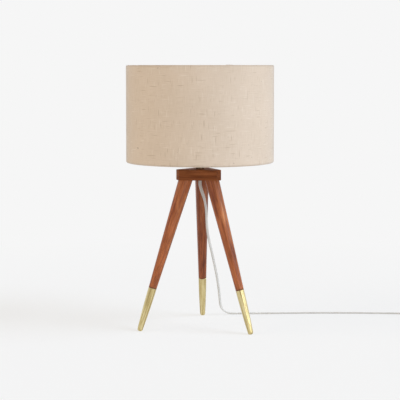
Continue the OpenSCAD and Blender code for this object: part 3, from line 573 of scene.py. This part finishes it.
def linen(name, height):
    """Plain-woven linen on the strip's own measures, in metres, for a strip of this height
    from lip to lip. Each set of threads is fine noise stretched along it, thick and thin
    threads are the same at a larger scale, a few dark flecks lie among them, and a band
    along the folds over the rings is made darker."""
    made = finish_of(name, {"Roughness": 0.85, "Sheen Weight": 0.9, "Sheen Roughness": 0.3,
                            "Specular IOR Level": 0.25})
    weave = placed(made, source="UV")
    upright = noise(made, placed(made, scale=(1, 30, 1), source="UV"), 1500, 2.0)
    level = noise(made, placed(made, scale=(30, 1, 1), source="UV"), 1500, 2.0)
    cloudy = noise(made, weave, 14, 3.0)
    slub_up = noise(made, placed(made, (0.3, 0.1, 0), scale=(1, 11, 1), source="UV"), 430, 1.0)
    slub_level = noise(made, placed(made, (0.7, 0.9, 0), scale=(13, 1, 1), source="UV"), 430, 1.0)
    fleck = noise(made, placed(made, (1.7, 1.9, 0), scale=(1.6, 1, 1), source="UV"), 190, 2.0)
    dark, mid, light = tone(196, 174, 150), tone(217, 198, 178), tone(231, 217, 202)
    stops = [(0.0, dark), (0.5, mid), (1.0, light)]
    base = blended(made, 0.5, ramp(made, upright, stops), ramp(made, level, stops))
    for slub in (slub_up, slub_level):
        base = blended(made, remap(made, slub, 0.66, 0.76, 0, 0.7), base, light)
        base = blended(made, remap(made, slub, 0.33, 0.24, 0, 1.0), base, dark)
    tint = ramp(made, cloudy, [(0.3, (0.97, 0.965, 0.955, 1)), (0.7, (1.02, 1.02, 1.02, 1))])
    base = blended(made, 1.0, base, tint, "MULTIPLY")
    base = blended(made, remap(made, fleck, 0.73, 0.77, 0, 0.8), base, tone(120, 92, 66))
    up = add(made, "SeparateXYZ", {0: weave}).outputs["Y"]
    off_middle = add(made, "Math", {0: up, 1: height / 2}, operation="SUBTRACT").outputs[0]
    off_middle = add(made, "Math", {0: off_middle}, operation="ABSOLUTE").outputs[0]
    # A band along the folds over the rings is made darker.
    fold = height / 2 - LIP_AND_ROLL
    fold_darkening = remap(made, off_middle, fold - 1.5 * MM, fold + 2 * MM, 0, 0.7)
    base = blended(made, fold_darkening, base, (0.74, 0.72, 0.70, 1), "MULTIPLY")
    feed(made, "Base Color", base)
    threads = {"Vector": weave, "Scale": 480.0, "Distortion": 0.6, "Detail": 1.0}
    warp, weft = (add(made, "TexWave", threads, bands_direction=way).outputs["Fac"] for way in "XY")
    cross = add(made, "Math", {0: warp, 1: weft}, operation="MULTIPLY").outputs[0]
    relief = bump(made, cross, 0.0001, 0.5)
    lumps = add(made, "Math", {0: slub_up, 1: slub_level}, operation="ADD").outputs[0]
    feed(made, "Normal", bump(made, lumps, 0.0002, 0.5, relief))
    return made


def strip(name, grid, along, across, made):
    """A one-layer mesh through a grid of points, open on all four sides, whose map holds
    the cloth's own measures."""
    rows, columns = grid.shape[:2]
    i, j = np.meshgrid(np.arange(rows - 1), np.arange(columns - 1), indexing="ij")
    quads = np.stack([i * columns + j, i * columns + j + 1, (i + 1) * columns + j + 1,
                      (i + 1) * columns + j], -1).reshape(-1, 4)
    mesh = bpy.data.meshes.new(name)
    mesh.from_pydata(grid.reshape(-1, 3).tolist(), [], quads.tolist())
    places = np.stack(np.meshgrid(along, across, indexing="ij")[::-1], -1).reshape(-1, 2)
    corner = np.zeros(len(mesh.loops), int)
    mesh.loops.foreach_get("vertex_index", corner)
    mesh.uv_layers.new(name="UVMap").data.foreach_set("uv", places[corner].ravel())
    mesh.polygons.foreach_set("use_smooth", np.ones(len(mesh.polygons), bool))
    mesh.materials.append(made)
    piece = bpy.data.objects.new(name, mesh)
    bpy.context.scene.collection.objects.link(piece)
    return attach(piece, BODY)


grid, along, across = cover_grid()
cover = strip("linen_cover", grid, along, across, linen("linen", along[-1]))
wall = cover.modifiers.new("cloth", "SOLIDIFY")
wall.thickness = CLOTH_T
wall.offset = 0.0
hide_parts("shade_cover")


# ---------------------------------------------------------------- Bulb
# An opal glass globe, blown with a short neck and cemented in a plated screw cap that
# turns into the lampholder's screw shell.
def opal(name):
    """Glass with a white coat inside: smooth and glossy, and faintly cloudy."""
    made = finish_of(name, {"Roughness": 0.16, "Coat Weight": 0.5, "Coat Roughness": 0.05,
                            "IOR": 1.5})
    cloudy = noise(made, placed(made), 40, 2.0)
    feed(made, "Base Color", ramp(made, cloudy, [(0.35, tone(232, 230, 224)), (0.65, tone(246, 245, 240))]))
    feed(made, "Roughness", remap(made, cloudy, 0.3, 0.7, 0.14, 0.22))
    return made


GLASS_WALL = 1 * MM
NECK_R = 14.1 * MM
NECK_PULL = 9 * MM
BALL_PULL = 12 * MM
BALL_FROM = math.radians(-42)
BALL_TO = math.radians(88)
globe_low, globe_high = top_and_bottom("bulb_globe")
globe_r = outer_radius("bulb_globe")


def globe_side(inset):
    """The glass from its neck to its crown, inset from the outside: a cubic curve leaves the
    cap upright and meets the ball along its tangent, and an arc goes on to the crown."""
    radius, middle = globe_r - inset, globe_high - globe_r
    t = np.linspace(0, 1, 24, endpoint=False)[:, None]
    out, up = math.cos(BALL_FROM), math.sin(BALL_FROM)
    start = np.array([NECK_R - inset, globe_low])
    join = np.array([radius * out, middle + radius * up])
    lower = start + (0, NECK_PULL)
    upper = join - BALL_PULL * np.array([-up, out])
    neck = ((1 - t) ** 3 * start + 3 * (1 - t) ** 2 * t * lower
            + 3 * (1 - t) * t * t * upper + t ** 3 * join)
    turn = np.linspace(BALL_FROM, BALL_TO, 44)
    return np.vstack([neck, np.stack([radius * np.cos(turn), middle + radius * np.sin(turn)], -1)])


glass = np.vstack([globe_side(GLASS_WALL)[::-1], globe_side(0)])
globe = skin("bulb_globe_blown", turned(glass, full_circle(96)), opal("opal_glass"))
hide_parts("bulb_globe")
dress("bulb_cap", plated_steel)


# ---------------------------------------------------------------- Cord
# Flat twin cord of clear plastic over tinned strands. It leaves the bush under the block,
# hangs down beside the rear leg and runs along the table to a coil held by a band.
CORD_W = 6 * MM
CORD_T = 3 * MM
exit_z = top_and_bottom("cord_bush")[0]
# Points of the middle line in mm, the same as in the solids.
ROUTE = np.array([
    (0.3, 0.2, 272), (3, 2.1, 260.5), (6.5, 6.7, 248), (8.7, 12.9, 233), (9.2, 19.6, 217),
    (8.8, 26.8, 201), (8.7, 34.4, 185), (9.6, 42.6, 169), (11.4, 51.8, 152), (13.4, 61.9, 136),
    (15.2, 71.9, 120), (17, 81.4, 104), (18.7, 90.5, 88), (19.9, 99, 72), (20.7, 107.3, 56),
    (21.2, 115.7, 39.5), (21.5, 124, 23), (22.8, 127.8, 16), (26, 131, 10), (31.2, 133.8, 5.4),
    (38, 136.2, 2.6), (45.5, 138, 1.6), (64, 141.5, 1.6), (83, 145, 1.6), (102, 148.8, 1.6),
    (121, 152.8, 1.6), (140, 157, 1.6), (159, 161.2, 1.6), (178, 165.3, 1.6), (198, 169.3, 1.6),
    (218, 173, 1.6), (238, 176.3, 1.6), (258, 179.2, 1.6), (278, 181.8, 1.6), (298, 184, 1.6),
    (319, 186, 1.6), (340, 187.8, 1.6), (361, 189.4, 1.7), (382, 190.8, 1.9), (403, 191.8, 2.3)])
COIL_CENTRE = np.array([436, 150.4]) * MM
COIL_R_IN = 24.5 * MM
COIL_TURNS = 2.625
COIL_PITCH = 6.6 * MM
COIL_LOW = 2.6 * MM
COIL_STEP = 3.6 * MM
COIL_R_OUT = COIL_R_IN + COIL_TURNS * COIL_PITCH
# Bearing of the cord's wide side in degrees, at heights in mm.
TWIST = np.array([(6, 90), (24, 55), (110, 60), (240, 66), (272, 0)])
STEPS_A_TURN = 48
WAIST_DEPTH = 0.26
WAIST_W = 0.35 * MM
CORD_SIDES = 44
CORD_GIRTH = 16 * MM


def smooth_line(points, step):
    """A smooth curve through chosen points: each stretch is a cubic whose slopes are those
    of its neighbours, so that the curve passes each point without a kink."""
    padded = np.vstack([2 * points[0] - points[1], points, 2 * points[-1] - points[-2]])
    made = []
    for a, b, c, d in zip(padded[:-3], padded[1:-2], padded[2:-1], padded[3:]):
        t = np.linspace(0, 1, max(2, int(np.linalg.norm(c - b) / step)), endpoint=False)[:, None]
        made.append(b + 0.5 * t * (c - a + t * (2 * a - 5 * b + 4 * c - d
                                                + t * (3 * (b - c) + d - a))))
    return np.vstack(made + [points[-1:]])


def coil_line():
    """The coil's centre line. It spirals in, climbs a layer in the half turn where it
    reverses, spirals out again, and ends straight for two widths of the cord."""
    turns = np.arange(round(2 * COIL_TURNS * STEPS_A_TURN) + 1) / STEPS_A_TURN
    bearing = math.pi / 2 - 2 * math.pi * turns
    radius = COIL_R_IN + np.abs(turns - COIL_TURNS) * COIL_PITCH
    climb = np.clip(2 * (turns - COIL_TURNS) + 0.5, 0, 1)
    line = np.stack([COIL_CENTRE[0] + radius * np.cos(bearing), COIL_CENTRE[1] + radius * np.sin(bearing),
                     COIL_LOW + COIL_STEP * climb * climb * (3 - 2 * climb)], -1)
    way = np.array([math.sin(bearing[-1]), -math.cos(bearing[-1]), 0])
    tail = line[-1] + np.array([[1], [2]]) * CORD_W * way
    return np.vstack([line, tail]), np.concatenate([bearing, bearing[-1:], bearing[-1:]])


def levelled(wide, way):
    """The wide direction made square to the way along the line, of length 1."""
    wide = wide - (wide * way).sum(1)[:, None] * way
    return wide / np.linalg.norm(wide, axis=1)[:, None]


def carried(line, wide, section):
    """A flat section of (wide, thin) points carried along a line, square to it."""
    way = np.gradient(line, axis=0)
    way /= np.linalg.norm(way, axis=1)[:, None]
    wide = levelled(wide, way)
    thin = np.cross(way, wide)
    return line[:, None] + section[None, :, :1] * wide[:, None] + section[None, :, 1:] * thin[:, None]


def twin_section(count):
    """Two round cores side by side with a waist between them. The width is the cosine of the
    turn, drawn towards each core by a power of 0.6, and a circle's own cosine. The thickness
    is a sine that a bell curve pinches at the middle."""
    turn = full_circle(count)
    core = (CORD_W - CORD_T) / 2
    x, y = core * np.sign(np.cos(turn)) * np.abs(np.cos(turn)) ** 0.6, np.sin(turn)
    reach = CORD_T / 2 * (1 - WAIST_DEPTH * np.exp(-(x / WAIST_W) ** 2))
    return np.stack([x + CORD_T / 2 * np.cos(turn), reach * y], -1)


run_end = np.array([[COIL_CENTRE[0] - CORD_W, COIL_CENTRE[1] + COIL_R_OUT, COIL_LOW]])
run_line = smooth_line(np.vstack([[(0, 0, exit_z)], ROUTE * MM, run_end]), 3 * MM)
turned_by = np.radians(np.interp(run_line[:, 2], TWIST[:, 0] * MM, TWIST[:, 1]))
wound_line, bearings = coil_line()
cord_line = np.vstack([run_line, wound_line])
facing = np.concatenate([turned_by, bearings])
cord_wide = np.stack([np.cos(facing), np.sin(facing), np.zeros(len(facing))], -1)
cord_travel = np.concatenate([[0], np.cumsum(np.linalg.norm(np.diff(cord_line, axis=0), axis=1))])


def cord_plastic(name):
    """Clear plastic over tinned strands, on the cord's own map: fine noise stretched round
    the cord is the lay of the strands, and a slow noise clouds the plastic."""
    made = finish_of(name, {"Roughness": 0.3, "Coat Weight": 0.4, "Coat Roughness": 0.15,
                            "Subsurface Weight": 0.15, "Subsurface Radius": (0.001, 0.001, 0.001)})
    slow = noise(made, placed(made, source="UV"), 60, 2.0)
    strand = noise(made, placed(made, scale=(0.12, 2, 1), source="UV"), 500, 2.0)
    base = ramp(made, slow, [(0.3, tone(202, 199, 192)), (0.7, tone(215, 212, 206))])
    lay = ramp(made, strand, [(0.35, tone(186, 181, 173)), (0.65, tone(221, 217, 210))])
    feed(made, "Base Color", blended(made, 0.45, base, lay))
    return made


clear_plastic = cord_plastic("cord_plastic")
girth = np.linspace(0, CORD_GIRTH, CORD_SIDES + 1)
cord = skin("mains_cord", carried(cord_line, cord_wide, twin_section(CORD_SIDES)), clear_plastic,
            uv=(cord_travel, girth))
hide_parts("cord_run", "cord_coil")
for name in ("inner_cord", "terminal_leads"):
    dress(name, clear_plastic)


# ---------------------------------------------------------------- Band round the coil
# A black woven hook-and-loop band. It goes once round the turns and closes on itself, and
# its lapped end stands up a little as a pull tab.
TIE_BEARING = math.radians(225)
TIE_W = 8 * MM
TIE_T = 0.8 * MM
TIE_ROUND = 2.2 * MM
TIE_NEAR = 20.35 * MM
TIE_FAR = 45.525 * MM
TIE_LOW = 0.4 * MM
TIE_HIGH = 8.4 * MM
TIE_START = 35 * MM
LAP_FROM = 30 * MM
LAP_TO = 43 * MM
LAP_RAMP = 4 * MM
LAP_LIFT = 0.9 * MM
TAB_LEN = 3 * MM
TAB_CURL = 70


def rounded(turn, half_w, half_t, power):
    """A rounded oblong: x and y are powers of the cosine and sine of the turn, so that a
    power of 2 gives an oval and a higher one squarer corners."""
    c, s = np.cos(turn), np.sin(turn)
    return (half_w * np.sign(c) * np.abs(c) ** (2 / power),
            half_t * np.sign(s) * np.abs(s) ** (2 / power))


def band_line():
    """Middle line of the band, as (distance from the coil's middle, height): from its start
    on top once round an oblong with round corners, then up over its start, and its last
    3 mm curve up by the square of the distance."""
    turn = np.radians(np.linspace(90, 0, 7))
    half = np.array([TIE_FAR - TIE_NEAR, TIE_HIGH - TIE_LOW]) / 2 - TIE_ROUND
    middle = np.array([TIE_FAR + TIE_NEAR, TIE_HIGH + TIE_LOW]) / 2
    corners = [middle + half * way + TIE_ROUND * np.stack([np.cos(turn - back), np.sin(turn - back)], -1)
               for way, back in (((1, 1), 0), ((1, -1), math.pi / 2), ((-1, -1), math.pi),
                                 ((-1, 1), 1.5 * math.pi))]
    lap = np.linspace(LAP_FROM, LAP_TO, 27)
    t = np.clip((lap - LAP_FROM) / LAP_RAMP, 0, 1)
    lift = LAP_LIFT * t * t * (3 - 2 * t) + TAB_CURL * np.clip(lap - LAP_TO + TAB_LEN, 0, None) ** 2
    return dense(np.vstack([[(TIE_START, TIE_HIGH)], *corners, np.stack([lap, TIE_HIGH + lift], -1)]), MM)


def hook_and_loop(name):
    """Black nylon pile: fine curled loops are noise, in colour and in relief."""
    made = finish_of(name, {"Roughness": 0.9, "Sheen Weight": 0.4, "Sheen Roughness": 0.5})
    loops = noise(made, placed(made), 1600, 2.0, 1.5)
    feed(made, "Base Color", ramp(made, loops, [(0.35, tone(22, 22, 24)), (0.65, tone(58, 58, 61))]))
    feed(made, "Normal", bump(made, loops, 0.0002, 0.8))
    return made


flat_line = band_line()
out_way = np.array([math.cos(TIE_BEARING), math.sin(TIE_BEARING), 0])
band_path = np.append(COIL_CENTRE, 0) + flat_line[:, :1] * out_way
band_path[:, 2] = flat_line[:, 1]
beside_way = np.tile(np.cross((0, 0, 1), out_way), (len(band_path), 1))
band_section = np.stack(rounded(full_circle(40), TIE_W / 2, TIE_T / 2, 8), -1)
band = skin("coil_band", carried(band_path, beside_way, band_section), hook_and_loop("hook_and_loop"))
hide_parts("coil_tie")


# ---------------------------------------------------------------- Plug
# A two-blade plug moulded on the cord's end in the same clear plastic, with a ribbed grip
# and a segmented strain relief. The blades are flat brass with a hole near the tip.
PLUG_MID_Z = 6.2 * MM
RELIEF_LEN = 22 * MM
PLUG_END = 49 * MM
GROOVE_FROM = 4 * MM
GROOVE_TO = 21 * MM
GROOVE_PITCH = 3.4 * MM
GROOVE_DEPTH = 0.55 * MM
GRIP_FROM = 30 * MM
GRIP_TO = 44 * MM
GRIP_PITCH = 2.4 * MM
GRIP_DEPTH = 0.45 * MM
GRIP_SHARE = 0.72


def plug_grid():
    """Rounded-square rings along the plug. Half width, half thickness and squareness change
    evenly from each stop to the next, grooves part the relief, and ribs cross the flat
    sides."""
    u = np.concatenate([np.linspace(0, RELIEF_LEN, 60), np.linspace(RELIEF_LEN, PLUG_END, 80)[1:]])
    stops = np.array([0, 10, 21.4, 22.6, 27, 35, 43, 48, 49]) * MM
    half_w = np.interp(u, stops, np.array([3.4, 4.1, 4.8, 6.3, 8.0, 10.4, 10.5, 10.2, 9.3]) * MM)
    half_t = np.interp(u, stops, np.array([1.9, 3.3, 4.8, 4.9, 5.5, 6.2, 6.2, 6.0, 5.2]) * MM)
    power = np.interp(u, stops, np.array([2.2, 2.2, 2.2, 2.6, 3.2, 4, 4.5, 4.5, 4.5]))
    groove = np.clip(np.sin(2 * math.pi * u / GROOVE_PITCH) - 0.2, 0, 1)
    groove = GROOVE_DEPTH * groove * (u > GROOVE_FROM) * (u < GROOVE_TO)
    half_w, half_t = half_w - groove, half_t - groove
    rib = (u > GRIP_FROM) * (u < GRIP_TO) * (1 - np.cos(2 * math.pi * u / GRIP_PITCH)) / 2
    turn = full_circle(72)
    x, y = rounded(turn, 1, 1, power[:, None])
    flat = np.abs(x) < GRIP_SHARE
    x = x * half_w[:, None]
    y = y * (half_t[:, None] - GRIP_DEPTH * rib[:, None] * flat)
    start = wound_line[-1]
    return np.stack([start[0] + x, np.repeat(start[1] - u[:, None], len(turn), 1), PLUG_MID_Z + y], -1)


plug = skin("plug_body_moulded", plug_grid(), clear_plastic)
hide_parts("plug_body")

BLADE_PITCH = 12.7 * MM
BLADE_T = 1.5 * MM
BLADE_W = 6.3 * MM
BLADE_BEVEL = 0.3 * MM
HOLE_R = 1.6 * MM
HOLE_AT = 60.7 * MM
BLADE_START = 43.15 * MM
BLADE_END = 66.15 * MM


def blade_grid(side):
    """A flat blade with a hole near its tip. Each column is a ray from the hole's middle to
    the outline, a rounded oblong on which two eighth powers add up to 1, and the rows go
    round the section: hole, face, bevelled edge, other face."""
    turn = full_circle(96)
    tip, root = BLADE_END - HOLE_AT, HOLE_AT - BLADE_START
    c, s = rounded(turn, 1, 1, 3)
    c = np.where(c > 0, c * tip, c * root)
    s = s * BLADE_W / 2
    reach = (np.abs(c / np.where(c > 0, tip, root)) ** 8 + np.abs(s / (BLADE_W / 2)) ** 8) ** (-1 / 8)
    outline = np.stack([c, s], -1) * reach[:, None]
    away = np.linalg.norm(outline, axis=1)[:, None]
    ring, eased = outline / away * HOLE_R, outline * (1 - BLADE_BEVEL / away)
    flat = [ring, eased, outline, outline, eased, ring]
    level = np.array([1, 1, 1 - 2 * BLADE_BEVEL / BLADE_T, 2 * BLADE_BEVEL / BLADE_T - 1, -1, -1])
    start = wound_line[-1]
    return np.stack([np.stack([np.full(len(turn), start[0] + side * BLADE_PITCH / 2 + h * BLADE_T / 2),
                               start[1] - HOLE_AT - p[:, 0], PLUG_MID_Z + p[:, 1]], -1)
                     for p, h in zip(flat, level)])


for side in (-1, 1):
    blade = skin("plug_blade_" + ("near" if side < 0 else "far"), blade_grid(side), bright_brass,
                 wrap_rows=True)
    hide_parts("plug_blades")


# ---------------------------------------------------------------- Studio
# A pale floor runs into an even background. A large soft light stands on the right with two
# weak low ones for the highlights on legs and ferrules, and a warmer one on the left. The
# camera has the photograph's angle.
WHITE = (1, 1, 1, 1)
FLOOR_PAINT = (0.96, 0.96, 0.96, 1)
FLOOR_R = 8
FLOOR_SIDES = 96
BACKDROP = 0.922
NEAR_EVEN = 0.68
ROOM_LIGHT = (1.0, 0.93, 0.82, 1)
ROOM_STRENGTH = 0.4
PHOTO_SIZE = 400
FOCAL_PX = 1361.3
CAMERA_DISTANCE = 2.580
CAMERA_HEIGHT = 0.5006
CAMERA_AZIMUTH = math.radians(9)
CAMERA_PITCH = math.radians(4.005)
AXIS_DROP_PX = 40
SENSOR = 36


def seen_rays(made):
    """1 for rays of the camera, of gloss and of clear materials, and 0 for the rest."""
    path = add(made, "LightPath")
    seen = path.outputs["Is Camera Ray"]
    for kind in ("Is Glossy Ray", "Is Transmission Ray"):
        seen = add(made, "Math", {0: seen, 1: path.outputs[kind]}, operation="MAXIMUM").outputs[0]
    return seen


def studio_floor():
    """A wide disc. Near the lamp it is white paint that takes the lamp's shadow. Further out
    it turns into the background's own even tone, for what the camera and gloss see."""
    made = bpy.data.materials.new("studio_floor")
    made.use_nodes = True
    made.node_tree.nodes.clear()
    out = add(made, "OutputMaterial")
    paint = add(made, "BsdfDiffuse", {"Color": FLOOR_PAINT}).outputs["BSDF"]
    even = add(made, "Emission", {"Color": WHITE, "Strength": BACKDROP}).outputs["Emission"]
    spot = add(made, "TexCoord").outputs["Object"]
    away = add(made, "VectorMath", {0: spot}, operation="LENGTH").outputs["Value"]
    far = remap(made, away, 0.5, 1.3, NEAR_EVEN, 1.0)
    share = add(made, "Math", {0: far, 1: seen_rays(made)}, operation="MULTIPLY").outputs[0]
    mixed = add(made, "MixShader", {0: share, 1: paint, 2: even}).outputs[0]
    made.node_tree.links.new(mixed, out.inputs["Surface"])
    rim = full_circle(FLOOR_SIDES)
    points = np.stack([FLOOR_R * np.cos(rim), FLOOR_R * np.sin(rim), np.zeros(FLOOR_SIDES)], -1)
    mesh = bpy.data.meshes.new("studio_floor")
    mesh.from_pydata(points.tolist(), [], [list(range(FLOOR_SIDES))])
    mesh.materials.append(made)
    floor = bpy.data.objects.new("studio_floor", mesh)
    bpy.context.scene.collection.objects.link(floor)


def background():
    """Even warm light all round, and the pale background for what the camera and gloss see."""
    world = bpy.data.worlds.new("studio")
    bpy.context.scene.world = world
    world.use_nodes = True
    world.node_tree.nodes.clear()
    out = add(world, "OutputWorld")
    lit = add(world, "Background", {"Color": ROOM_LIGHT, "Strength": ROOM_STRENGTH}).outputs[0]
    shown = add(world, "Background", {"Color": WHITE, "Strength": BACKDROP}).outputs[0]
    mixed = add(world, "MixShader", {0: seen_rays(world), 1: lit, 2: shown}).outputs[0]
    world.node_tree.links.new(mixed, out.inputs["Surface"])


def sun(name, azimuth, elevation, strength, width, colour, mirrored=True):
    """A far soft light. Azimuth 0 stands in front of the lamp, and 90 on its right. One
    that isn't mirrored leaves no highlight of its own on gloss."""
    lamp = bpy.data.lights.new(name, "SUN")
    lamp.energy = strength
    lamp.angle = math.radians(width)
    lamp.color = colour
    placed_lamp = bpy.data.objects.new(name, lamp)
    placed_lamp.rotation_euler = (math.radians(90 - elevation), 0, math.radians(azimuth))
    placed_lamp.visible_glossy = mirrored
    bpy.context.scene.collection.objects.link(placed_lamp)


studio_floor()
background()
sun("key_light", 80, 40, 1.85, 40, (0.86, 1.0, 1.2))
sun("side_light", 84, 12, 0.12, 40, (0.9, 1.0, 1.15))
sun("front_light", 42, 6, 0.45, 34, (0.95, 1.0, 1.05))
sun("fill_light", -60, 30, 0.95, 50, (1.0, 0.86, 0.68), mirrored=False)
bpy.context.scene.view_settings.view_transform = "Standard"

lens = bpy.data.cameras.new("photo_camera")
lens.sensor_width = SENSOR
lens.lens = FOCAL_PX / PHOTO_SIZE * SENSOR
lens.shift_y = -AXIS_DROP_PX / PHOTO_SIZE
camera = bpy.data.objects.new("photo_camera", lens)
camera.location = (CAMERA_DISTANCE * math.sin(CAMERA_AZIMUTH),
                   -CAMERA_DISTANCE * math.cos(CAMERA_AZIMUTH), CAMERA_HEIGHT)
camera.rotation_euler = (math.pi / 2 - CAMERA_PITCH, 0, CAMERA_AZIMUTH)
bpy.context.scene.collection.objects.link(camera)
bpy.context.scene.camera = camera
